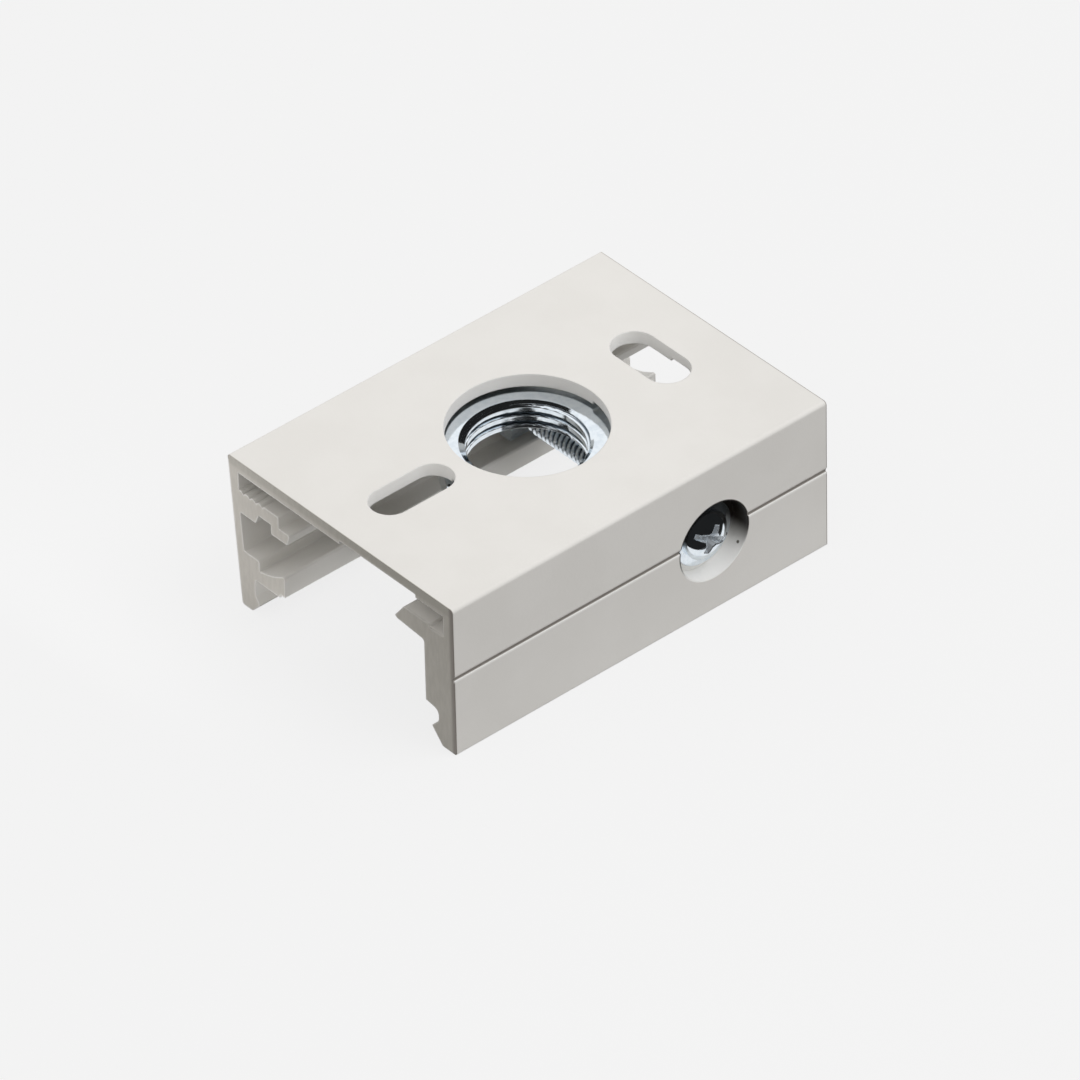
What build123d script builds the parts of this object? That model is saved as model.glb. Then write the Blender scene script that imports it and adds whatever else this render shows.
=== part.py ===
"""Track light adapter: an aluminium clamp bracket that grips a lighting track from above.

One length of extrusion, cut off at both ends, carries everything. Its flat top has a round
centre hole and two slots. Its two legs straddle the track: each leg has a groove that takes
the track's flange. A threaded hex nut lies in a channel under the centre hole and takes a
lamp's nipple. A screw in a counterbore of the near leg crosses to a nut plate that is held
in the far leg, and pulls the legs together on the track.

Frame: millimetres, +Z up. X runs along the extrusion, +Y points to the far leg, and the
origin is where the centre hole's axis meets the top face. The extrusion's section is
measured across from the far top edge and down from the top face.
"""

import os

from build123d import *

# Whole bracket
length = 60.0
width = 41.4
height = 22.1
hole_line = 20.3  # far top edge to the line of holes
hole_from_end = 30.3  # first end face to the centre hole's axis

# Top plate
plate = 1.85
relief = 0.48  # how much thinner the middle strip is
relief_start = 20.7
relief_end = 34.65
near_corner = 0.5
far_corner = 0.3
inner_round = 0.25  # small inside and outside rounds of the extrusion
edge_round = 0.12

# Holes in the top plate
centre_hole_radius = 10.15
slot_width = 5.45
slot_length = 12.2
slot_offset = 18.5  # centre hole to the lengthwise slot
cross_slot_width = 6.0
cross_slot_length = 12.0
cross_slot_offset = 19.95  # centre hole to the crosswise slot

# Hex nut and its channel
nut_flats = 22.0
nut_thickness = 3.9
nut_thread_radius = 7.45
nut_mouth_radius = 8.25
nut_mouth_depth = 0.6
nut_lower_mouth = 0.15  # radial and axial size of the lower bevel
nut_edge = 0.25
nut_gap = 0.4  # plate to nut
nut_play = 0.05  # each side of the nut
nut_shift = -0.25  # the nut lies a little towards the first end

# Near leg
leg = 5.4
pocket_wall = 1.8
pocket_floor = 4.95
fin_top = 4.5
fin_step = 1.0  # leg's inner face to the step in the fin's top
fin_root = 7.45
fin_tip = 6.75
fin_tip_blunt = 0.28
fin_taper = 0.43
nose_lean = 0.76  # across for each millimetre down
guide_groove_top = 10.03
guide_groove_flank = 0.62  # height of its long upper flank
guide_groove_ledge = 0.12  # and of its short lower one
guide_groove_cut = 0.27
guide_groove_round = 0.05

# Track grooves, from the bottom up
foot = 2.65  # bottom to the flange groove
flange_gap = 2.5  # height of the flange groove
near_recess = 2.3  # depth of the near leg's groove
near_recess_round = 0.95
near_shoulder = 0.35  # how far the groove's upper edge stands back
near_hook_rise = 0.9  # hook's tip up to the groove's full depth
near_tip_recess = 1.0
near_tip_drop = 0.5
near_foot = 2.5
far_recess = 4.3  # far top edge to the far groove's back
far_foot = 3.6
far_toe = 5.0
far_toe_rise = 1.5

# Far leg
lean = 0.075  # the outer face leans in by this much for each millimetre down
upper_wall = 1.58
lower_wall = 1.38
shelf_top = 4.4
hook_wall = 1.5
tail = 2.0
tail_taper = 0.45
tail_thickness = 1.7
notch = 1.45  # height of the notch for the nut plate
beak = 4.85
beak_slope = 0.65
ledge = 3.45  # track flange groove up to the ledge
step_face = 5.25
lip_root = 1.85
lip_end = 10.0
lip_rise = 1.9
lip_sag = 0.3
lip_curve = 5.4  # radius of the lip's hollow top
lip_nib = 1.0
lip_nib_rise = 0.5
serration_first = 2.7
serration_pitch = 1.17
serration_count = 4
serration_half = 0.34
serration_cut = 0.35

# Clamp screw, washer and nut plate
screw_from_end = 41.6
screw_above_lip = 3.5  # screw's axis above the foot of the lip's slope
screw_under_tail = 0.2  # least clearance between the screw and the tail of the hook
counterbore_radius = 5.5
counterbore_depth = 2.75
screw_hole_radius = 2.1
screw_radius = 1.7
screw_past_plate = 0.9  # how far the tip stands out of the nut plate
screw_chamfer = 0.5
head_radius = 3.3
head_rim = 0.55
head_height = 1.65
head_flat_radius = 1.2
head_dome_across = 0.78  # a point of the head's dome, as a share of the head's radius
head_dome_rise = 0.73  # and as a share of its height
slot_cut_width = 0.75
slot_cut_depth = 0.6
cross_arm = 2.1
cross_width = 0.85
cross_depth = 1.15
recess_turn = 30.0
washer_radius = 4.5
washer_hole_radius = 1.9
washer_thickness = 0.8
washer_edge = 0.15
plate_nut_length = 6.4
plate_nut_play = 0.1
plate_nut_edge = 0.3
thread_clearance = 0.05

# Places that follow from the sizes above
nut_bottom = plate + nut_gap + nut_thickness
nut_near_side = hole_line + nut_flats / 2
hook_face = hole_line - nut_flats / 2 - nut_play
hook_back = hook_face - hook_wall
tail_under = nut_bottom + tail_thickness
notch_top = tail_under - notch
groove_bottom = height - foot
groove_top = groove_bottom - flange_gap
leg_face = width - leg
ledge_top = groove_top - ledge
lip_low = groove_top - lip_root
plate_nut_start = step_face + plate_nut_play
screw_x = screw_from_end - hole_from_end
screw_depth = max(lip_low - screw_above_lip, tail_under + screw_under_tail + screw_radius)
seat = width - counterbore_depth
head_under = seat + washer_thickness
screw_length = head_under - plate_nut_start + screw_past_plate


def across_to_y(across):
    """Y of a place that is measured across from the far top edge."""
    return hole_line - across


def outline(*corners):
    """A face in the section plane from corners (across, down, corner radius)."""
    points = [(across_to_y(across), -down) for across, down, _ in corners]
    path = FilletPolyline(*points, radius=[radius for _, _, radius in corners], close=True)
    return Plane.YZ * make_face(path)


def outer_face(down):
    """Across, the far leg's leaning outer face at a depth."""
    return lean * down


def top_plate():
    """The flat top between the legs, with its thinner strip."""
    start = upper_wall / 2
    end = width - pocket_wall / 2
    slab = outline((start, 0, 0), (end, 0, 0), (end, plate, 0), (start, plate, 0))
    strip_top = plate - relief
    strip = outline((relief_start, strip_top, inner_round), (relief_end, strip_top, inner_round),
                    (relief_end, plate + relief, 0), (relief_start, plate + relief, 0))
    return slab - strip


def nose(down):
    """Across, the sloping end of the fin that holds the nut, at a depth."""
    foot_of_nut = nut_near_side - nut_edge + 2 * nut_play
    return foot_of_nut + (nut_bottom - down) * nose_lean


def near_leg():
    """The thick leg with the fin under the nut, the track groove and its hooked foot."""
    step = leg_face + fin_step
    groove_back = leg_face + near_recess
    return outline(
        (width - pocket_wall, 0, 0),
        (width, 0, near_corner),
        (width, height, inner_round),
        (width - near_foot, height, 2 * inner_round),
        (leg_face + near_tip_recess, groove_bottom + near_tip_drop, edge_round),
        (groove_back, groove_bottom - near_hook_rise, near_recess_round),
        (groove_back, groove_top, near_recess_round),
        (leg_face, groove_top - near_shoulder, edge_round),
        (leg_face, fin_root, 2 * inner_round),
        (nose(fin_tip) + fin_taper, fin_tip + fin_tip_blunt, edge_round),
        (nose(fin_tip), fin_tip, edge_round),
        (nose(fin_top), fin_top, inner_round),
        (step, fin_top, edge_round),
        (step, pocket_floor, edge_round),
        (width - pocket_wall, pocket_floor, inner_round),
    )


def far_leg():
    """The thin leaning leg with its shelf, hook, nut plate channel, lip and foot."""
    lip_top = groove_top - lip_root - lip_rise
    lip_middle = (step_face + lip_end) / 2
    shelf_wall = outer_face(shelf_top) + upper_wall
    return outline(
        (0, 0, far_corner),
        (shelf_wall, 0, 0),
        (shelf_wall, shelf_top, edge_round),
        (hook_face, shelf_top, inner_round),
        (hook_face, nut_bottom, edge_round),
        (hook_face + tail, nut_bottom, inner_round),
        (hook_face + tail - tail_taper, tail_under, inner_round),
        (hook_back, tail_under, edge_round),
        (hook_back, notch_top, edge_round),
        (beak + beak_slope, notch_top, inner_round),
        (beak, tail_under, edge_round),
        (outer_face(tail_under) + lower_wall, tail_under, inner_round),
        (outer_face(ledge_top) + lower_wall, ledge_top, inner_round),
        (step_face, ledge_top, inner_round),
        (step_face, lip_low, edge_round),
        (lip_middle, (lip_low + lip_top) / 2 + lip_sag, lip_curve),
        (lip_end, lip_top, inner_round),
        (lip_end, groove_top - lip_nib_rise, edge_round),
        (lip_end - lip_nib, groove_top - lip_nib_rise, edge_round),
        (lip_end - lip_nib, groove_top, edge_round),
        (far_recess, groove_top, inner_round),
        (far_recess, groove_bottom, inner_round),
        (far_toe, height - far_toe_rise, inner_round),
        (far_foot, height, 2 * inner_round),
        (outer_face(height), height, 2 * inner_round),
    )


def serrations():
    """Small V grooves along the top of the far leg's shelf."""
    cuts = []
    for index in range(serration_count):
        middle = serration_first + index * serration_pitch
        cuts.append(outline((middle - serration_half, shelf_top, 0), (middle, shelf_top + serration_cut, 0),
                            (middle + serration_half, shelf_top, 0), (middle, shelf_top - serration_cut, 0)))
    return cuts


def guide_groove():
    """The line cut along the near leg's outer face: a long upper flank down to a short ledge."""
    deepest = guide_groove_top + guide_groove_flank
    return outline((width, guide_groove_top, 0),
                   (width - guide_groove_cut, deepest, guide_groove_round),
                   (width, deepest + guide_groove_ledge, 0),
                   (width + guide_groove_cut, deepest, 0))


def across_screw(radius, start, end):
    """A round bar on the screw's axis, between two places measured across."""
    face = Plane(origin=(screw_x, across_to_y(start), -screw_depth), z_dir=(0, -1, 0)) * Circle(radius)
    return extrude(face, amount=end - start)


def make_bracket():
    section = top_plate() + near_leg() + far_leg() - guide_groove()
    for cut in serrations():
        section -= cut
    body = Pos(-hole_from_end, 0, 0) * extrude(section, amount=length)

    through = plate + nut_gap
    slot = SlotOverall(slot_length, slot_width)
    cross_slot = SlotOverall(cross_slot_length, cross_slot_width, rotation=90)
    body -= extrude(Circle(centre_hole_radius), amount=through, both=True)
    body -= Pos(-slot_offset, 0, 0) * extrude(slot, amount=through, both=True)
    body -= Pos(cross_slot_offset, 0, 0) * extrude(cross_slot, amount=through, both=True)

    body -= across_screw(counterbore_radius, seat, width + counterbore_depth)
    body -= across_screw(screw_hole_radius, leg_face - leg, width)
    return body


def make_hex_nut():
    """The nut blank, its threaded hole at the thread's inner radius, bevelled at both mouths."""
    blank = extrude(RegularPolygon(nut_flats / 2, 6, major_radius=False), amount=nut_thickness)
    ends = blank.faces().filter_by(Axis.Z)
    blank = chamfer(ends.edges(), nut_edge)
    seated = (Align.CENTER, Align.CENTER, Align.MIN)
    bore = Cylinder(nut_thread_radius, nut_thickness, align=seated)
    lower_mouth = Cone(nut_thread_radius + nut_lower_mouth, nut_thread_radius, nut_lower_mouth, align=seated)
    upper_mouth = Cone(nut_mouth_radius, nut_thread_radius, nut_mouth_depth, align=seated)
    upper_mouth = Pos(0, 0, nut_thickness) * Rot(180, 0, 0) * upper_mouth
    return Pos(nut_shift, 0, -nut_bottom) * (blank - bore - lower_mouth - upper_mouth)


def screw_profile():
    """Half section of the screw: its radius against its distance from the head's underside."""
    tip = screw_length
    rim = (head_radius, -head_rim)
    dome_middle = (head_dome_across * head_radius, -head_dome_rise * head_height)
    flat_edge = (head_flat_radius, -head_height)
    dome = ThreePointArc(rim, dome_middle, flat_edge)
    rest = Polyline(flat_edge, (0, -head_height), (0, tip), (screw_radius - screw_chamfer, tip),
                    (screw_radius, tip - screw_chamfer), (screw_radius, 0), (head_radius, 0), rim)
    return make_face([dome, rest])


def make_clamp_screw():
    """Machine screw with a pan head that has both a slot and a cross recess."""
    body = revolve(screw_profile(), Axis.Y)
    top = -head_height
    slot = Pos(0, top + slot_cut_depth / 2, 0) * Box(2 * head_radius, slot_cut_depth, slot_cut_width)
    arm = Box(2 * cross_arm, cross_depth, cross_width)
    cross = Pos(0, top + cross_depth / 2, 0) * (arm + Rot(0, 90, 0) * arm)
    body -= slot + cross
    return Pos(screw_x, across_to_y(head_under), -screw_depth) * Rot(0, recess_turn, 0) * body


def make_screw_washer():
    disc = across_screw(washer_radius, seat, head_under) - across_screw(washer_hole_radius, seat, head_under)
    rims = disc.edges().filter_by(GeomType.CIRCLE).group_by(SortBy.RADIUS)[-1]
    return fillet(rims, washer_edge)


def make_clamp_nut():
    """The plate with the screw's thread, held between the notch above and the lip below."""
    start = plate_nut_start
    end = hook_back - plate_nut_play
    top = notch_top + plate_nut_play
    rise = lip_rise * (end - step_face) / (lip_end - step_face)
    bottom = lip_low - rise - plate_nut_play
    block = outline((start, top, plate_nut_edge), (end, top, plate_nut_edge),
                    (end, bottom, plate_nut_edge), (start, bottom, plate_nut_edge))
    body = Pos(screw_x - plate_nut_length / 2, 0, 0) * extrude(block, amount=plate_nut_length)
    return body - across_screw(screw_radius + thread_clearance, start - plate_nut_play, end + plate_nut_play)


def main():
    os.makedirs("parts", exist_ok=True)
    parts = {
        "bracket": make_bracket(),
        "hex_nut": make_hex_nut(),
        "clamp_screw": make_clamp_screw(),
        "screw_washer": make_screw_washer(),
        "clamp_nut": make_clamp_nut(),
    }
    for name, shape in parts.items():
        export_step(shape, f"parts/{name}.step")


main()
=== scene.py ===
"""Track light adapter: a coated clamp bracket with a threaded hex nut and a clamp screw."""
import math

import bmesh
import bpy
import numpy as np
from mathutils import Matrix, Vector


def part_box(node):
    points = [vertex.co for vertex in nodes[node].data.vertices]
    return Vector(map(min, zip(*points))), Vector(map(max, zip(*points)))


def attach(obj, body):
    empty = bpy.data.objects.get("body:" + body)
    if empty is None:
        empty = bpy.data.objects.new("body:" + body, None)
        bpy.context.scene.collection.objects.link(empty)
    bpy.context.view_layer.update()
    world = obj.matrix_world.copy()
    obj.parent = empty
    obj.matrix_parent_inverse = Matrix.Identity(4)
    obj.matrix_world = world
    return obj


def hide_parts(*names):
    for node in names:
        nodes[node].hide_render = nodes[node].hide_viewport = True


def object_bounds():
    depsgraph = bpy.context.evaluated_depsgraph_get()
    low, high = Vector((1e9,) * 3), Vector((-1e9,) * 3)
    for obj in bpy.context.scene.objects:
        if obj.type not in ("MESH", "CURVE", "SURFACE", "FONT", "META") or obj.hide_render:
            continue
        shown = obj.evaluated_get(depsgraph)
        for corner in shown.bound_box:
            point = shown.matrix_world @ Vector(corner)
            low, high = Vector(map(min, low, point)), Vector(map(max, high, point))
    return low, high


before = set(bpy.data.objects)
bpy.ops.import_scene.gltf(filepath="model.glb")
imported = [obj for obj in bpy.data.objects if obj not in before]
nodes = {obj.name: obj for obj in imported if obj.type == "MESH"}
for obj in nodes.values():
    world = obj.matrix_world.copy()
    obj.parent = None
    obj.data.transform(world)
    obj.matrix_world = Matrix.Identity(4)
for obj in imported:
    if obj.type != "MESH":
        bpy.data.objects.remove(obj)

cad_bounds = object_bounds()

# Studio. A plain pale floor under the bracket, a soft even sky and one soft lamp above the near
# leg. A black screen round the near side and two black cards on the floor show in bright metal
# alone. Two pale panels, under the bracket and before its first end, light its inside.

white = (1, 1, 1, 1)
floor_half = 2.0
floor_gap = 0.00002
floor_level = cad_bounds[0][2] - floor_gap
floor_grey = 0.90
floor_bounce_grey = 0.30
floor_shadow = 0.10
sky_light = 0.68
sky_tint = (1.0, 0.98, 0.96, 1)
key_tint = (0.98, 1.0, 1.04)
key_direction = Vector((0.28, -0.45, 0.85)).normalized()
key_distance = 1.0
key_power = 4.3
key_size = 0.7
black_glow = 0.015
screen_radius = 0.050
screen_centre = Vector((0, 0, -0.003))
screen_rows = 90
screen_columns = 180
screen_across = [-0.050, -0.014, -0.010, 0.000, 0.005, 0.014, 0.018, 0.025, 0.039, 0.045]
screen_edge = [0.027, 0.027, 0.012, 0.012, 0.013, 0.007, 0.000, -0.009, 0.001, 0.022]
card_lift = 0.0003
card_under_low, card_under_high = (-0.0145, -0.0150), (0.004, 0.0145)
card_under_glow = 0.02
card_before_low, card_before_high = (-0.060, -0.0470), (0.060, -0.0286)
panel_under_low, panel_under_high = (-0.040, 0.0072), (0.040, 0.0100)
panel_under_glow = 2.8
panel_end_x = -0.055
panel_end_low, panel_end_high = (0.012, -0.013), (0.060, -0.0015)
panel_end_glow = 2.0


def node(tree, kind, inputs=None, **settings):
    """A new node with its settings, and values or links for its input sockets."""
    made = tree.nodes.new(kind)
    for name, value in settings.items():
        setattr(made, name, value)
    for name, value in (inputs or {}).items():
        if isinstance(value, bpy.types.NodeSocket):
            tree.links.new(value, made.inputs[name])
        else:
            made.inputs[name].default_value = value
    return made


def math_node(tree, operation, first, second=0.0):
    """The result of one arithmetic step on two numbers or sockets."""
    return node(tree, "ShaderNodeMath", {0: first, 1: second}, operation=operation).outputs[0]


def vector_node(tree, operation, first, second=(0, 0, 0)):
    """The outputs of one step on two vectors or sockets, of which Vector or Value holds the result."""
    return node(tree, "ShaderNodeVectorMath", {0: first, 1: second}, operation=operation).outputs


def product(tree, first, *others):
    """These numbers or sockets multiplied."""
    for other in others:
        first = math_node(tree, "MULTIPLY", first, other)
    return first


def smooth_range(tree, value, low, high, start=0.0, end=1.0):
    """The value eased from start to end as it goes from low to high."""
    made = node(tree, "ShaderNodeMapRange", {"Value": value, "From Min": low, "From Max": high,
                                             "To Min": start, "To Max": end},
                interpolation_type="SMOOTHSTEP")
    return made.outputs["Result"]


def shown_rays(tree):
    """1 on the camera's own rays and on those off metal or through glass, and 1 on the camera's alone."""
    path = node(tree, "ShaderNodeLightPath").outputs
    shown = math_node(tree, "MAXIMUM", path["Is Glossy Ray"], path["Is Transmission Ray"])
    return math_node(tree, "MAXIMUM", path["Is Camera Ray"], shown), path["Is Camera Ray"]


def grey(level):
    """A neutral colour."""
    return (level, level, level, 1)


def empty_material(name):
    """A material without nodes, and its node tree."""
    material = bpy.data.materials.new(name)
    material.use_nodes = True
    material.node_tree.nodes.clear()
    return material, material.node_tree


def place_object(name, data):
    """A new object with this mesh, lamp or camera, in the scene."""
    made = bpy.data.objects.new(name, data)
    bpy.context.scene.collection.objects.link(made)
    return made


def level_corners(low, high, z):
    """The corners of a level rectangle at this height, from one corner to the one across."""
    return [(low[0], low[1], z), (high[0], low[1], z), (high[0], high[1], z), (low[0], high[1], z)]


def upright_corners(low, high, x):
    """The corners of an upright rectangle at this X, from one corner's Y and Z to the other's.

    It faces the second end.
    """
    return [(x, low[0], low[1]), (x, high[0], low[1]), (x, high[0], high[1]), (x, low[0], high[1])]


def flat_object(name, corners):
    """An object that is one face with these four corners."""
    mesh = bpy.data.meshes.new(name)
    mesh.from_pydata(corners, [], [(0, 1, 2, 3)])
    return place_object(name, mesh)


def build_sky():
    """White to the camera and in metal, and a soft even sky for matt surfaces."""
    world = bpy.data.worlds.new("soft_sky")
    world.use_nodes = True
    tree = world.node_tree
    tree.nodes.clear()
    shown, _ = shown_rays(tree)
    soft = node(tree, "ShaderNodeBackground", {"Color": sky_tint, "Strength": sky_light})
    bright = node(tree, "ShaderNodeBackground", {"Color": white, "Strength": 1.0})
    sky = node(tree, "ShaderNodeMixShader", {0: shown, 1: soft.outputs[0], 2: bright.outputs[0]})
    node(tree, "ShaderNodeOutputWorld", {"Surface": sky.outputs[0]})
    bpy.context.scene.world = world


def build_floor():
    """Pale to the camera and in metal, with a faint shadow, and darker as a bounce from below."""
    corners = level_corners((-floor_half, -floor_half), (floor_half, floor_half), floor_level)
    floor = flat_object("floor", corners)
    paper, tree = empty_material("floor_paper")
    shown, straight = shown_rays(tree)
    seen = node(tree, "ShaderNodeEmission", {"Color": grey(floor_grey), "Strength": 1.0})
    lit = node(tree, "ShaderNodeBsdfDiffuse", {"Color": grey(floor_grey)})
    bounce = node(tree, "ShaderNodeBsdfDiffuse", {"Color": grey(floor_bounce_grey)})
    shadow = math_node(tree, "MULTIPLY", straight, floor_shadow)
    front = node(tree, "ShaderNodeMixShader", {0: shadow, 1: seen.outputs[0], 2: lit.outputs[0]})
    whole = node(tree, "ShaderNodeMixShader", {0: shown, 1: bounce.outputs[0], 2: front.outputs[0]})
    node(tree, "ShaderNodeOutputMaterial", {"Surface": whole.outputs[0]})
    floor.data.materials.append(paper)


def only_for_rays(piece, glossy, strength):
    """Stage that gives off this much light, and that metal alone meets, or matt surfaces alone.

    What matt surfaces meet gives off light from its front, and lets light through from behind.
    """
    glow, tree = empty_material(piece.name + "_glow")
    light = node(tree, "ShaderNodeEmission", {"Color": white, "Strength": strength})
    if not glossy:
        behind = node(tree, "ShaderNodeNewGeometry").outputs["Backfacing"]
        clear = node(tree, "ShaderNodeBsdfTransparent")
        light = node(tree, "ShaderNodeMixShader", {0: behind, 1: light.outputs[0], 2: clear.outputs[0]})
    node(tree, "ShaderNodeOutputMaterial", {"Surface": light.outputs[0]})
    piece.data.materials.append(glow)
    piece.visible_camera = False
    piece.visible_glossy = glossy
    piece.visible_diffuse = not glossy
    piece.visible_transmission = False
    piece.visible_shadow = False


def build_screen():
    """A black part of a sphere round the near side, from the floor to overhead, for metal alone.

    A point at two angles is the centre plus the radius times their sines and cosines. What lies
    under the floor is left out, and so is what lies past the edge, which is drawn from above as a
    line through a few places.
    """
    rows = np.linspace(0, np.pi, screen_rows + 1)[:, None]
    columns = np.linspace(0, 2 * np.pi, screen_columns + 1)[None, :]
    x = screen_centre.x + screen_radius * np.sin(rows) * np.cos(columns)
    y = screen_centre.y + screen_radius * np.sin(rows) * np.sin(columns)
    z = screen_centre.z + screen_radius * np.cos(rows) + 0 * columns
    points = np.stack([x, y, z], axis=-1)
    count, around = points.shape[:2]
    spots = np.arange(count * around).reshape(count, around)
    quads = np.stack([spots[:-1, :-1], spots[1:, :-1], spots[1:, 1:], spots[:-1, 1:]], axis=-1)
    quads = quads.reshape(-1, 4)
    corners = points.reshape(-1, 3)[quads]
    past_edge = corners[..., 1] - np.interp(corners[..., 0], screen_across, screen_edge)
    kept = (past_edge.max(axis=1) < 0) & (corners[..., 2].min(axis=1) > floor_level)
    mesh = bpy.data.meshes.new("screen")
    mesh.from_pydata(points.reshape(-1, 3).tolist(), [], quads[kept].tolist())
    only_for_rays(place_object("screen", mesh), glossy=True, strength=black_glow)


def build_cards():
    """The black cards, which metal alone meets, and the pale panels, which matt surfaces alone meet."""
    above_floor = floor_level + card_lift
    under = flat_object("card_under", level_corners(card_under_low, card_under_high, above_floor))
    only_for_rays(under, glossy=True, strength=card_under_glow)
    before = flat_object("card_before", level_corners(card_before_low, card_before_high, above_floor))
    only_for_rays(before, glossy=True, strength=black_glow)
    panel = flat_object("panel_under", level_corners(panel_under_low, panel_under_high, above_floor))
    only_for_rays(panel, glossy=False, strength=panel_under_glow)
    end = flat_object("panel_end", upright_corners(panel_end_low, panel_end_high, panel_end_x))
    only_for_rays(end, glossy=False, strength=panel_end_glow)


def build_key():
    """The one soft lamp. Metal doesn't mirror it, so that its reflections stay those of the sky."""
    lamp = bpy.data.lights.new("key", "AREA")
    lamp.shape = "DISK"
    lamp.size = key_size
    lamp.energy = key_power
    lamp.color = key_tint
    key = place_object("key", lamp)
    key.location = key_direction * key_distance
    key.rotation_euler = key_direction.to_track_quat("Z", "Y").to_euler()
    key.visible_glossy = False


build_sky()
build_floor()
build_screen()
build_cards()
build_key()
bpy.context.scene.view_settings.view_transform = "Standard"

# Camera. Fitted to the bracket's corners in the photograph: a long lens from above the corner
# of the near leg and the first end.

camera_turn = math.radians(-40.387)
camera_height = math.radians(38.307)
camera_roll = math.radians(-1.398)
camera_distance = 1.43506
camera_lens = 393.9
camera_sensor = 36
camera_near = 0.1
camera_far = 20
camera_target = Vector((-0.0003, -0.000405, -0.010995))
camera_shift_right = -0.0012836
camera_shift_up = 0.0049312


def build_camera():
    """The camera at its distance from the target, turned, raised, rolled and then shifted."""
    back = Vector((math.sin(camera_turn) * math.cos(camera_height),
                   -math.cos(camera_turn) * math.cos(camera_height), math.sin(camera_height)))
    level = Vector((math.cos(camera_turn), math.sin(camera_turn), 0))
    upright = back.cross(level)
    right = math.cos(camera_roll) * level + math.sin(camera_roll) * upright
    up = -math.sin(camera_roll) * level + math.cos(camera_roll) * upright
    place = camera_target + back * camera_distance - camera_shift_right * right - camera_shift_up * up
    lens = bpy.data.cameras.new("camera")
    lens.lens = camera_lens
    lens.sensor_width = camera_sensor
    lens.clip_start = camera_near
    lens.clip_end = camera_far
    camera = place_object("camera", lens)
    axes = Matrix((right, up, back)).transposed()
    camera.matrix_world = Matrix.Translation(place) @ axes.to_4x4()
    bpy.context.scene.camera = camera


build_camera()

# Bracket. A length of extruded aluminium, sawn off, punched and drilled, with a thin light grey
# coat that is a little rough, and a painted highlight along its edges.

coat_colour = (0.800, 0.785, 0.750, 1)
coat_edge_highlight_colour = (0.93, 0.922, 0.90, 1)
coat_edge_radius = 0.00022
coat_hollow_colour = (0.62, 0.60, 0.555, 1)
coat_cloud = {"low": 0.35, "high": 0.65, "end": 0.10}
coat_cloud_scale = 110.0
coat_grain_size = 0.00045
coat_roughness = 0.46
coat_specular = 0.35
coat_bump = 0.5
bump_height = 0.00002
edge_samples = 6
edge_turned = {"low": 0.97, "high": 0.75}
cut_colour = (0.97, 0.965, 0.94, 1)

near_face = cad_bounds[0][1]
middle_x = (cad_bounds[0][0] + cad_bounds[1][0]) / 2
half_length = (cad_bounds[1][0] - cad_bounds[0][0]) / 2
sawn_colour = (0.645, 0.617, 0.567, 1)
sawn_dark_colour = (0.445, 0.43, 0.385, 1)
sawn_rim_shadow_colour = (0.29, 0.265, 0.24, 1)
sawn_from_end = (0.00015, 0.00005)
# Painted shade darkens the sawn ends towards the near leg, and a painted shadow gives their dark rim at the
# near side.
sawn_shade_to_near = {"low": 0.016, "high": -0.020, "end": 0.55}
sawn_band = {"low": -0.0015, "high": -0.0009, "end": 0.50}
sawn_rim = {"low": near_face + 0.00095, "high": near_face + 0.00030}
saw_mark_stretch = (1.0, 1.0, 0.25)
saw_mark_scale = 2200.0
saw_mark_range = {"low": 0.3, "high": 0.7}
saw_mark_share = 0.20
# Painted highlight along the outlines of the sawn ends, and on the groove's lower lip.
painted_highlight_colour = (0.98, 0.97, 0.95, 1)
outline_highlight_radius = 0.00060
outline_highlight_below = {"low": -0.0005, "high": -0.0009}
punched_from_end = (0.0010, 0.0015)
punched_across = {"low": 0.0125, "high": 0.0120}
punched_below = {"low": -0.00195, "high": -0.0019}
punched_upright = {"low": 0.7, "high": 0.3}

bore_x = (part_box("clamp_screw")[0].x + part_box("clamp_screw")[1].x) / 2
bore_z = (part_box("clamp_screw")[0].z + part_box("clamp_screw")[1].z) / 2
bore_radius = 0.0055
bore_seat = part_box("screw_washer")[1].y
bore_past = (0.0002, 0.0001)
# Painted shade: the upper half of the bore and the dark line in the side groove.
shade_colour = (0.020, 0.015, 0.012, 1)
shade_up = {"low": -0.72 * bore_radius, "high": -0.05 * bore_radius}
groove_shade_colour = (0.27, 0.25, 0.225, 1)
groove_high = -0.01003
groove_low = -0.01077
groove_edge = 0.0001
groove_mouth = {"low": 0.00002, "high": 0.00016}
groove_floor = {"low": 0.00045, "high": 0.00040}
# The groove's lower lip carries a painted highlight.
groove_lip = 0.00040
lip_upper = (0.00008, 0.00003)
lip_depth = {"low": 0.00020, "high": 0.00012}
lip_share = 0.65
speck_colour = (0.13, 0.12, 0.10, 1)
speck_radius = 0.00026
speck_core = 0.6
speck_place = (bore_x + 0.00457, near_face + 0.00088, bore_z - 0.00307)


def new_material(name):
    """A material with a lone Principled shader, its node tree and that shader."""
    material, tree = empty_material(name)
    shader = node(tree, "ShaderNodeBsdfPrincipled")
    node(tree, "ShaderNodeOutputMaterial", {"Surface": shader.outputs[0]})
    return material, tree, shader


def group_with(name, inputs, outputs):
    """An empty node group with these sockets, and its two end nodes."""
    group = bpy.data.node_groups.new(name, "ShaderNodeTree")
    for socket, kind, value in inputs:
        made = group.interface.new_socket(socket, in_out="INPUT", socket_type=kind)
        made.default_value = value
    for socket, kind in outputs:
        group.interface.new_socket(socket, in_out="OUTPUT", socket_type=kind)
    return group, group.nodes.new("NodeGroupInput"), group.nodes.new("NodeGroupOutput")


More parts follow.
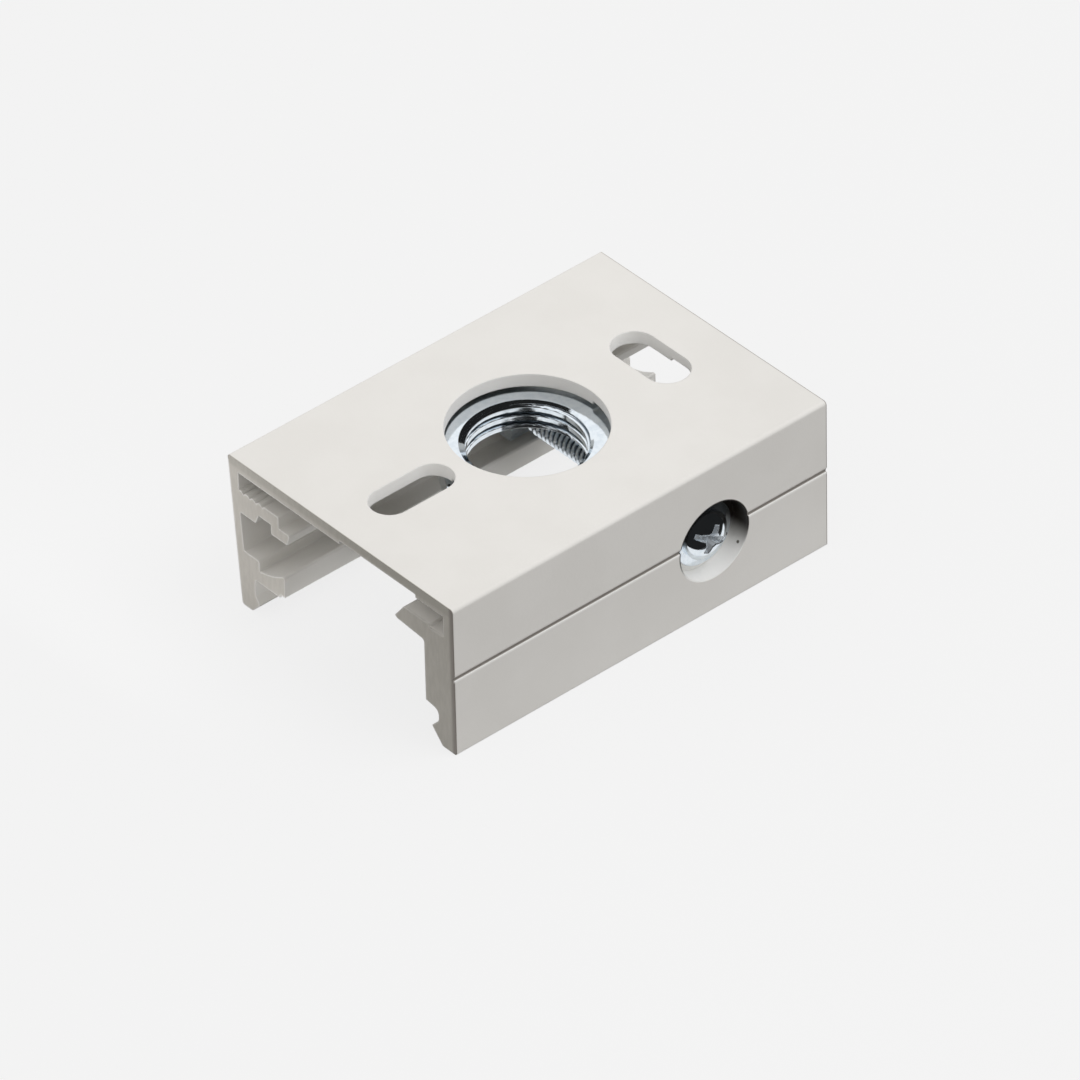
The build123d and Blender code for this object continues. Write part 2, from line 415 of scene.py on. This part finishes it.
def edge_group():
    """Edge: how far a small round along the edges turns the normal. Rounded: the turned normal."""
    group, given, result = group_with("edge_mask", [("Radius", "NodeSocketFloat", 0.0002)],
                                      [("Edge", "NodeSocketFloat"), ("Rounded", "NodeSocketVector")])
    rounded = node(group, "ShaderNodeBevel", {"Radius": given.outputs["Radius"]}, samples=edge_samples)
    plain = node(group, "ShaderNodeNewGeometry").outputs["Normal"]
    together = vector_node(group, "DOT_PRODUCT", rounded.outputs[0], plain)["Value"]
    group.links.new(smooth_range(group, together, **edge_turned), result.inputs["Edge"])
    group.links.new(rounded.outputs[0], result.inputs["Rounded"])
    return group


def grain_group():
    """Grain and Cloud: a fine noise of this size and a broad one, on the object's own coordinates."""
    group, given, result = group_with("coat_grain", [("Size", "NodeSocketFloat", 0.0004)],
                                      [("Grain", "NodeSocketFloat"), ("Cloud", "NodeSocketFloat")])
    place = node(group, "ShaderNodeTexCoord").outputs["Object"]
    scale = math_node(group, "DIVIDE", 1.0, given.outputs["Size"])
    fine = node(group, "ShaderNodeTexNoise", {"Vector": place, "Scale": scale, "Detail": 2.0})
    broad = node(group, "ShaderNodeTexNoise", {"Vector": place, "Scale": coat_cloud_scale, "Detail": 3.0})
    group.links.new(fine.outputs[0], result.inputs["Grain"])
    group.links.new(broad.outputs[0], result.inputs["Cloud"])
    return group


def cut_group():
    """Masks by place: sawn ends, punched walls, the bore, its dark top, the groove, its lip and a speck.

    Across and Below are the object's Y and Z. A punched wall is upright, lies in the plate and
    keeps off its ends and its sides. The bore, the groove and the painted highlight on its lower
    lip are in the near face, and the groove and the lip stop at the bore.
    """
    names = ("Sawn", "Across", "Below", "Punched", "Bored", "Shaded", "Groove", "Lip", "Speck")
    group, _, result = group_with("cut_masks", [], [(name, "NodeSocketFloat") for name in names])
    place = node(group, "ShaderNodeTexCoord")
    x, y, z = node(group, "ShaderNodeSeparateXYZ", {0: place.outputs["Object"]}).outputs
    level = node(group, "ShaderNodeSeparateXYZ", {0: place.outputs["Normal"]}).outputs["Z"]
    level = math_node(group, "ABSOLUTE", level)
    from_middle = math_node(group, "ABSOLUTE", math_node(group, "SUBTRACT", x, middle_x))
    sawn = smooth_range(group, from_middle, half_length - sawn_from_end[0], half_length - sawn_from_end[1])

    inside = smooth_range(group, from_middle, half_length - punched_from_end[0],
                          half_length - punched_from_end[1])
    in_line = smooth_range(group, math_node(group, "ABSOLUTE", y), **punched_across)
    in_plate = smooth_range(group, z, **punched_below)
    punched = product(group, inside, in_line, in_plate, smooth_range(group, level, **punched_upright))

    bore_across = math_node(group, "SUBTRACT", x, bore_x)
    bore_up = math_node(group, "SUBTRACT", z, bore_z)
    squares = math_node(group, "ADD", product(group, bore_across, bore_across),
                        product(group, bore_up, bore_up))
    from_axis = math_node(group, "SQRT", squares)
    in_bore = smooth_range(group, from_axis, bore_radius + bore_past[0], bore_radius + bore_past[1])
    past_bore = smooth_range(group, from_axis, bore_radius + bore_past[1], bore_radius + bore_past[0])
    outside = smooth_range(group, y, bore_seat + bore_past[0], bore_seat + bore_past[1])
    bored = product(group, in_bore, outside)
    shaded = smooth_range(group, bore_up, **shade_up)

    depth = math_node(group, "SUBTRACT", y, near_face)
    groove = product(group, smooth_range(group, depth, **groove_mouth),
                     smooth_range(group, depth, **groove_floor),
                     smooth_range(group, z, groove_low - groove_edge, groove_low),
                     smooth_range(group, z, groove_high + groove_edge, groove_high), past_bore)
    lip = product(group, smooth_range(group, z, groove_low - groove_lip, groove_low),
                  smooth_range(group, z, groove_low + lip_upper[0], groove_low + lip_upper[1]),
                  smooth_range(group, depth, **lip_depth), past_bore, lip_share)
    apart = vector_node(group, "DISTANCE", place.outputs["Object"], speck_place)["Value"]
    speck = smooth_range(group, apart, speck_radius, speck_core * speck_radius)
    for name, value in zip(names, (sawn, y, z, punched, bored, shaded, groove, lip, speck)):
        group.links.new(value, result.inputs[name])
    return group


edge_mask = edge_group()
coat_grain = grain_group()
cut_masks = cut_group()


def mixed(tree, factor, first, second):
    """The colour between two colours or sockets."""
    made = node(tree, "ShaderNodeMix", {"Factor": factor}, data_type="RGBA")
    for name, colour in (("A", first), ("B", second)):
        socket = next(item for item in made.inputs if item.name == name and item.type == "RGBA")
        if isinstance(colour, bpy.types.NodeSocket):
            tree.links.new(colour, socket)
        else:
            socket.default_value = colour
    return next(item for item in made.outputs if item.type == "RGBA")


def add_bump(tree, shader, height, strength, edges):
    """Fine relief on the shader, on top of the small round that the edges give."""
    bump = node(tree, "ShaderNodeBump", {"Height": height, "Distance": bump_height, "Strength": strength,
                                         "Normal": edges.outputs["Rounded"]})
    tree.links.new(bump.outputs[0], shader.inputs["Normal"])


def coat_material():
    """Light grey powder coat: cloudy by a hair, rough like fine eggshell, with a painted highlight on
    edges.

    The sawn ends are darker, with upright saw marks, with painted shade that darkens them towards the
    near leg, darker still just under the top, with a painted shadow as a dark rim at the near side and
    a painted highlight along their outlines. Punched and bored walls are pale metal. The bore's top
    and the side groove carry painted shade as dark as the photograph shows them, because soft light
    alone leaves them paler, and the groove's lower lip carries a painted highlight.
    """
    material, tree, shader = new_material("powder_coat")
    edges = node(tree, "ShaderNodeGroup", {"Radius": coat_edge_radius}, node_tree=edge_mask)
    outlines = node(tree, "ShaderNodeGroup", {"Radius": outline_highlight_radius}, node_tree=edge_mask)
    grain = node(tree, "ShaderNodeGroup", {"Size": coat_grain_size}, node_tree=coat_grain)
    cuts = node(tree, "ShaderNodeGroup", node_tree=cut_masks).outputs
    cloud = smooth_range(tree, grain.outputs["Cloud"], **coat_cloud)
    colour = mixed(tree, cloud, coat_colour, coat_hollow_colour)
    # Painted highlight: the coat is paler where the edges turn.
    colour = mixed(tree, edges.outputs["Edge"], colour, coat_edge_highlight_colour)

    place = node(tree, "ShaderNodeTexCoord").outputs["Object"]
    stretched = vector_node(tree, "MULTIPLY", place, saw_mark_stretch)["Vector"]
    marks = node(tree, "ShaderNodeTexNoise", {"Vector": stretched, "Scale": saw_mark_scale, "Detail": 2.0})
    marks = smooth_range(tree, marks.outputs[0], **saw_mark_range)
    # Painted shade towards the near leg.
    shade_to_near = smooth_range(tree, cuts["Across"], **sawn_shade_to_near)
    tone = math_node(tree, "ADD", shade_to_near, product(tree, marks, saw_mark_share))
    in_band = smooth_range(tree, cuts["Below"], **sawn_band)
    tone = node(tree, "ShaderNodeMath", {0: tone, 1: in_band}, operation="ADD", use_clamp=True).outputs[0]
    sawn = mixed(tree, tone, sawn_colour, sawn_dark_colour)
    # Painted shadow: a dark rim at the near side.
    rim = smooth_range(tree, cuts["Across"], **sawn_rim)
    sawn = mixed(tree, rim, sawn, sawn_rim_shadow_colour)
    colour = mixed(tree, cuts["Sawn"], colour, sawn)
    # Painted highlight along the sawn outlines.
    sawn_outline_highlight = product(tree, outlines.outputs["Edge"], math_node(tree, "SUBTRACT", 1.0, rim),
                   smooth_range(tree, cuts["Below"], **outline_highlight_below),
                   math_node(tree, "SUBTRACT", 1.0, shade_to_near), cuts["Sawn"])
    colour = mixed(tree, sawn_outline_highlight, colour, painted_highlight_colour)
    # Painted shade on the bore's upper half and in the groove, and a painted highlight on the groove's
    # lower lip.
    bore = mixed(tree, cuts["Shaded"], cut_colour, shade_colour)
    painted = (("Punched", cut_colour), ("Bored", bore), ("Groove", groove_shade_colour), ("Lip", painted_highlight_colour),
               ("Speck", speck_colour))
    for name, over in painted:
        colour = mixed(tree, cuts[name], colour, over)
    tree.links.new(colour, shader.inputs["Base Color"])
    shader.inputs["Roughness"].default_value = coat_roughness
    shader.inputs["Specular IOR Level"].default_value = coat_specular
    height = math_node(tree, "ADD", grain.outputs["Grain"], product(tree, marks, cuts["Sawn"]))
    add_bump(tree, shader, height, coat_bump, edges)
    return material


def dress(piece, *materials):
    """These materials on the piece: the first one, and more where its faces ask for them."""
    while piece.data.materials:
        piece.data.materials.pop()
    for material in materials:
        piece.data.materials.append(material)


dress(nodes["bracket"], coat_material())

# Hex nut. A flat steel nut, zinc plated, with a coarse pipe thread. It lies in the channel under
# the round hole and takes the lamp's nipple.

nut_low, nut_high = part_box("hex_nut")
nut_centre = (nut_low + nut_high) / 2
nut_flat = (nut_high.y - nut_low.y) / 2
nut_bottom = nut_low.z
nut_top = nut_high.z
nut_edge = 0.00025
nut_rows = 100
nut_columns = 360
nut_thread_inner = 0.00745
nut_thread_outer = 0.00785
nut_pitch = 0.001337
nut_thread_land = 0.50
nut_thread_foot = 0.24
nut_mouth = 0.00825
nut_mouth_depth = 0.0006
nut_foot_mouth = 0.00015
nut_roughness = 0.08
sharp_turn = math.radians(35)
zinc_colour = (0.83, 0.89, 0.94, 1)
zinc_shade_colour = (0.62, 0.70, 0.78, 1)
zinc_edge_radius = 0.00008
zinc_grain_size = 0.0009
zinc_cloud = {"low": 0.35, "high": 0.7, "end": 0.4}
zinc_shine = {"low": 0.3, "high": 0.7}
zinc_shine_least = 0.8
zinc_shine_most = 1.3
zinc_bump = 0.4
root_shade_colour = (0.12, 0.15, 0.18, 1)
root_flank = {"low": 0.35, "high": 0.85}
root_past = {"low": 1.9, "high": 1.6}


def add_piece(name, mesh, body, materials, *replaced):
    """A finished mesh as a piece of the object that rides on a body."""
    piece = place_object(name, mesh)
    dress(piece, *materials)
    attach(piece, body)
    if replaced:
        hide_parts(*replaced)
    return piece


def full_turn(steps):
    """The angles of a full turn in equal steps."""
    return np.linspace(0, 2 * np.pi, steps + 1)[:-1]


def ring_mesh(name, rings, closed):
    """A mesh from rings of points, each joined to the next, and the last to the first if closed."""
    count, around = rings.shape[:2]
    row = np.arange(count if closed else count - 1)[:, None]
    column = np.arange(around)[None, :]
    below = row * around
    above = (row + 1) % count * around
    beside = (column + 1) % around
    quads = np.stack([below + column, below + beside, above + beside, above + column], axis=-1)
    faces = quads.reshape(-1, 4).tolist()
    if not closed:
        faces.append(list(range(around))[::-1])
        faces.append(list(range((count - 1) * around, count * around)))
    mesh = bpy.data.meshes.new(name)
    mesh.from_pydata(rings.reshape(-1, 3).tolist(), [], faces)
    mesh.shade_smooth()
    mesh.set_sharp_from_angle(angle=sharp_turn)
    return mesh


def thread_wave(turns, land, foot):
    """From 0 at the thread's foot to 1 at its crest, both flat over their shares of the pitch."""
    ramp = 1 - np.abs(2 * (turns % 1) - 1)
    return np.clip((ramp - foot) / (1 - foot - land), 0, 1)


def hex_nut_mesh():
    """Radius against height, carried round: a threaded bore with bevelled mouths, then a hexagon.

    The bore's radius is the larger of the thread's, which rises one pitch a turn, and the
    mouths' cones. A flat's distance from the axis is constant, so a hexagon's radius is that
    distance over the cosine of the angle to the nearest flat's middle.
    """
    turn = full_turn(nut_columns)
    to_flat = (turn - np.pi / 2 + np.pi / 6) % (np.pi / 3) - np.pi / 6
    hexagon = nut_flat / np.cos(to_flat)
    height = np.linspace(nut_bottom, nut_top, nut_rows)[:, None]
    turns = height / nut_pitch - turn[None, :] / (2 * np.pi)
    wave = thread_wave(turns, nut_thread_land, nut_thread_foot)
    bore = nut_thread_outer - (nut_thread_outer - nut_thread_inner) * wave
    into_mouth = (height - (nut_top - nut_mouth_depth)) / nut_mouth_depth
    into_foot = (nut_bottom + nut_foot_mouth - height) / nut_foot_mouth
    mouth = nut_thread_inner + (nut_mouth - nut_thread_inner) * into_mouth
    foot = nut_thread_inner + nut_foot_mouth * into_foot
    bore = np.maximum(bore, np.maximum(mouth, foot))
    level = np.ones_like(turn)
    radii = [bore, (hexagon - nut_edge)[None], hexagon[None], hexagon[None], (hexagon - nut_edge)[None]]
    heights = [height * level, nut_top * level[None], (nut_top - nut_edge) * level[None],
               (nut_bottom + nut_edge) * level[None], nut_bottom * level[None]]
    radius = np.concatenate(radii)
    z = np.concatenate(heights)
    x = nut_centre.x + radius * np.cos(turn)
    y = nut_centre.y + radius * np.sin(turn)
    return ring_mesh("hex_nut_threaded", np.stack([x, y, z], axis=-1)[:, ::-1], closed=True)


def root_group():
    """Root: 1 in a thread's root and 0 on its crest, from the distance to the thread's axis.

    The distance is the length of the cross product of the axis and the way from a point on it.
    From and To bound the thread along its axis.
    """
    group, given, result = group_with("thread_root", [("Point", "NodeSocketVector", (0, 0, 0)),
                                                      ("Axis", "NodeSocketVector", (0, 0, 1)),
                                                      ("Crest", "NodeSocketFloat", 0.001),
                                                      ("Root", "NodeSocketFloat", 0.001),
                                                      ("From", "NodeSocketFloat", 0.0),
                                                      ("To", "NodeSocketFloat", 0.0)],
                                      [("Root", "NodeSocketFloat")])
    place = node(group, "ShaderNodeTexCoord").outputs["Object"]
    way = vector_node(group, "SUBTRACT", place, given.outputs["Point"])["Vector"]
    across = vector_node(group, "CROSS_PRODUCT", way, given.outputs["Axis"])["Vector"]
    apart = vector_node(group, "LENGTH", across)["Value"]
    along = vector_node(group, "DOT_PRODUCT", way, given.outputs["Axis"])["Value"]
    depth = math_node(group, "DIVIDE", math_node(group, "SUBTRACT", apart, given.outputs["Crest"]),
                      math_node(group, "SUBTRACT", given.outputs["Root"], given.outputs["Crest"]))
    root = product(group, smooth_range(group, depth, **root_flank), smooth_range(group, depth, **root_past),
                   math_node(group, "GREATER_THAN", along, given.outputs["From"]),
                   math_node(group, "LESS_THAN", along, given.outputs["To"]))
    group.links.new(root, result.inputs["Root"])
    return group


thread_root = root_group()


def zinc_material(name, roughness, metallic=1.0, **thread):
    """Bright zinc: a cool silver with faint darker clouds and an uneven shine, with painted shade in a
    thread's root.
    """
    material, tree, shader = new_material(name)
    edges = node(tree, "ShaderNodeGroup", {"Radius": zinc_edge_radius}, node_tree=edge_mask)
    grain = node(tree, "ShaderNodeGroup", {"Size": zinc_grain_size}, node_tree=coat_grain).outputs["Grain"]
    plated = mixed(tree, smooth_range(tree, grain, **zinc_cloud), zinc_colour, zinc_shade_colour)
    if thread:
        root = node(tree, "ShaderNodeGroup", thread, node_tree=thread_root)
        # Painted shade in the thread's root.
        plated = mixed(tree, root.outputs["Root"], plated, root_shade_colour)
    tree.links.new(plated, shader.inputs["Base Color"])
    shader.inputs["Metallic"].default_value = metallic
    shine = smooth_range(tree, grain, start=roughness * zinc_shine_least, end=roughness * zinc_shine_most,
                         **zinc_shine)
    tree.links.new(shine, shader.inputs["Roughness"])
    add_bump(tree, shader, grain, zinc_bump, edges)
    return material


nut_zinc = zinc_material("nut_zinc", nut_roughness, Point=(nut_centre.x, nut_centre.y, nut_bottom),
                         Axis=(0, 0, 1), Crest=nut_thread_inner, Root=nut_thread_outer, From=0.0,
                         To=nut_top - nut_bottom - nut_mouth_depth)
nut = add_piece("hex_nut_threaded", hex_nut_mesh(), "bracket", [nut_zinc], "hex_nut")

# Clamp screw. A zinc plated machine screw with a domed head that takes a slot or a cross driver.
# Its thread runs from the head to the tip, across the inside and through the nut plate.

screw_low, screw_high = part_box("clamp_screw")
screw_axis_x = (screw_low.x + screw_high.x) / 2
screw_axis_z = (screw_low.z + screw_high.z) / 2
screw_head_height = 0.00165
screw_head_radius = (screw_high.x - screw_low.x) / 2
screw_head_rim = 0.00055
screw_head_middle = (0.78 * screw_head_radius, 0.73 * screw_head_height)
screw_head_flat = 0.0012
screw_head_centre = 0.00003
screw_head_rows = 90
screw_head_columns = 240
recess_turn = math.radians(30)
recess_arm = 0.0021
recess_half_width = 0.00056
recess_depth = 0.00125
recess_wall_slope = 1.4
recess_end_slope = 0.95
recess_heart = 0.00105
slot_half_width = 0.00042
slot_depth = 0.0006
slot_wall_slope = 5.0
recess_shown = 0.00003
screw_under_head = screw_low.y + screw_head_height
screw_tip = screw_high.y
screw_into_head = 0.00005
screw_rows = 1000
screw_columns = 60
screw_crest = 0.0017
screw_root = 0.00123
screw_pitch = 0.0008
screw_thread_land = 0.14
screw_thread_foot = 0.10
screw_neck = 0.0006
screw_point = 0.0005
screw_root_end = 0.05
head_roughness = 0.08
recess_roughness = 0.25
recess_metallic = 0.65
thread_roughness = 0.24


def screw_shank():
    """Radius against place along the axis: a thread that winds one pitch a turn, cut back at the tip."""
    along = np.linspace(screw_under_head - screw_into_head, screw_tip, screw_rows)[:, None]
    turn = full_turn(screw_columns)[None, :]
    turns = (along - screw_under_head) / screw_pitch + turn / (2 * np.pi)
    wave = thread_wave(turns, screw_thread_land, screw_thread_foot)
    started = np.clip((along - screw_under_head - screw_neck) / screw_neck, 0, 1)
    radius = screw_root + (screw_crest - screw_root) * wave * started
    point = screw_crest - screw_point + (screw_tip - along)
    radius = np.minimum(radius, point)
    x = screw_axis_x + radius * np.cos(turn)
    z = screw_axis_z + radius * np.sin(turn)
    return np.stack([x, along + 0 * turn, z], axis=-1)


def screw_head():
    """Height above the head's underside against radius and turn: a dome, less a cross and a slot.

    The dome's section is the arc through three points: its centre is as far from each of them.
    An arm of the cross is as deep as the least of its sloping sides, its sloping end and its
    floor, the cross is the deepest of both arms and a cone in the middle, and the slot has steep
    sides and a level floor. Also says which points are cut.
    """
    low = np.array([screw_head_radius, screw_head_rim])
    middle = np.array(screw_head_middle)
    high = np.array([screw_head_flat, screw_head_height])
    sides = 2 * np.array([middle - low, high - low])
    squares = np.array([middle @ middle - low @ low, high @ high - low @ low])
    centre = np.linalg.solve(sides, squares)
    bend = np.linalg.norm(low - centre)

    radius = np.linspace(screw_head_centre, screw_head_radius, screw_head_rows)[:, None]
    turn = full_turn(screw_head_columns)[None, :]
    from_centre = np.maximum(radius, screw_head_flat) - centre[0]
    dome = centre[1] + np.sqrt(np.maximum(bend ** 2 - from_centre ** 2, 0))
    first = np.abs(radius * np.cos(turn + recess_turn))
    second = np.abs(radius * np.sin(turn + recess_turn))
    floor = np.full_like(first, recess_depth)
    arms = [np.minimum(floor, np.minimum((recess_half_width - beside) * recess_wall_slope,
                                         (recess_arm - along) * recess_end_slope))
            for along, beside in ((first, second), (second, first))]
    heart = np.minimum(floor, (recess_heart - radius) * recess_wall_slope)
    slot = np.minimum(slot_depth, (slot_half_width - second) * slot_wall_slope)
    depth = np.maximum.reduce([arms[0], arms[1], heart, slot, 0 * floor])
    height = np.minimum(dome, screw_head_height - depth)
    cut = np.concatenate([height < dome - recess_shown, np.zeros((2, turn.size), dtype=bool)])

    radii = [radius + 0 * turn, screw_head_radius + 0 * turn, screw_root / 2 + 0 * turn]
    heights = [height, 0 * turn, 0 * turn]
    radii, heights = np.concatenate(radii), np.concatenate(heights)
    x = screw_axis_x + radii * np.cos(turn)
    z = screw_axis_z + radii * np.sin(turn)
    return np.stack([x, screw_under_head - heights, z], axis=-1), cut


def clamp_screw_mesh():
    """The head, closed under it, and the threaded shank that starts just inside it.

    The dome takes the first material, the faces that lie in the cross and the slot with all
    their corners take the second, and the shank takes the third.
    """
    rings, cut = screw_head()
    head = ring_mesh("head", rings[:, ::-1], closed=False)
    cut = cut[:, ::-1] & np.roll(cut[:, ::-1], -1, axis=1)
    kinds = np.zeros(len(head.polygons), dtype=np.int32)
    inside = np.append((cut[:-1] & cut[1:]).ravel(), True)
    kinds[:inside.size] = inside
    head.polygons.foreach_set("material_index", kinds)
    shank = ring_mesh("shank", screw_shank()[:, ::-1], closed=False)
    shank.polygons.foreach_set("material_index", np.full(len(shank.polygons), 2, dtype=np.int32))
    joined = bmesh.new()
    joined.from_mesh(head)
    joined.from_mesh(shank)
    mesh = bpy.data.meshes.new("clamp_screw_threaded")
    joined.to_mesh(mesh)
    mesh.shade_smooth()
    mesh.set_sharp_from_angle(angle=sharp_turn)
    return mesh


head_zinc = zinc_material("head_zinc", head_roughness)
recess_zinc = zinc_material("recess_zinc", recess_roughness, metallic=recess_metallic)
thread_zinc = zinc_material("thread_zinc", thread_roughness,
                            Point=(screw_axis_x, screw_under_head, screw_axis_z), Axis=(0, 1, 0),
                            Crest=screw_crest, Root=screw_root, From=0.0, To=screw_root_end)
screw_zincs = [head_zinc, recess_zinc, thread_zinc]
screw = add_piece("clamp_screw_threaded", clamp_screw_mesh(), "screw", screw_zincs, "clamp_screw")

# Washer and nut plate. Plain punched steel, plated with zinc as the screw is. The nut plate is
# the duller one, and it can't be seen in the photograph.

washer_roughness = 0.10
plate_roughness = 0.34

dress(nodes["screw_washer"], zinc_material("washer_zinc", washer_roughness))
dress(nodes["clamp_nut"], zinc_material("dull_zinc", plate_roughness))
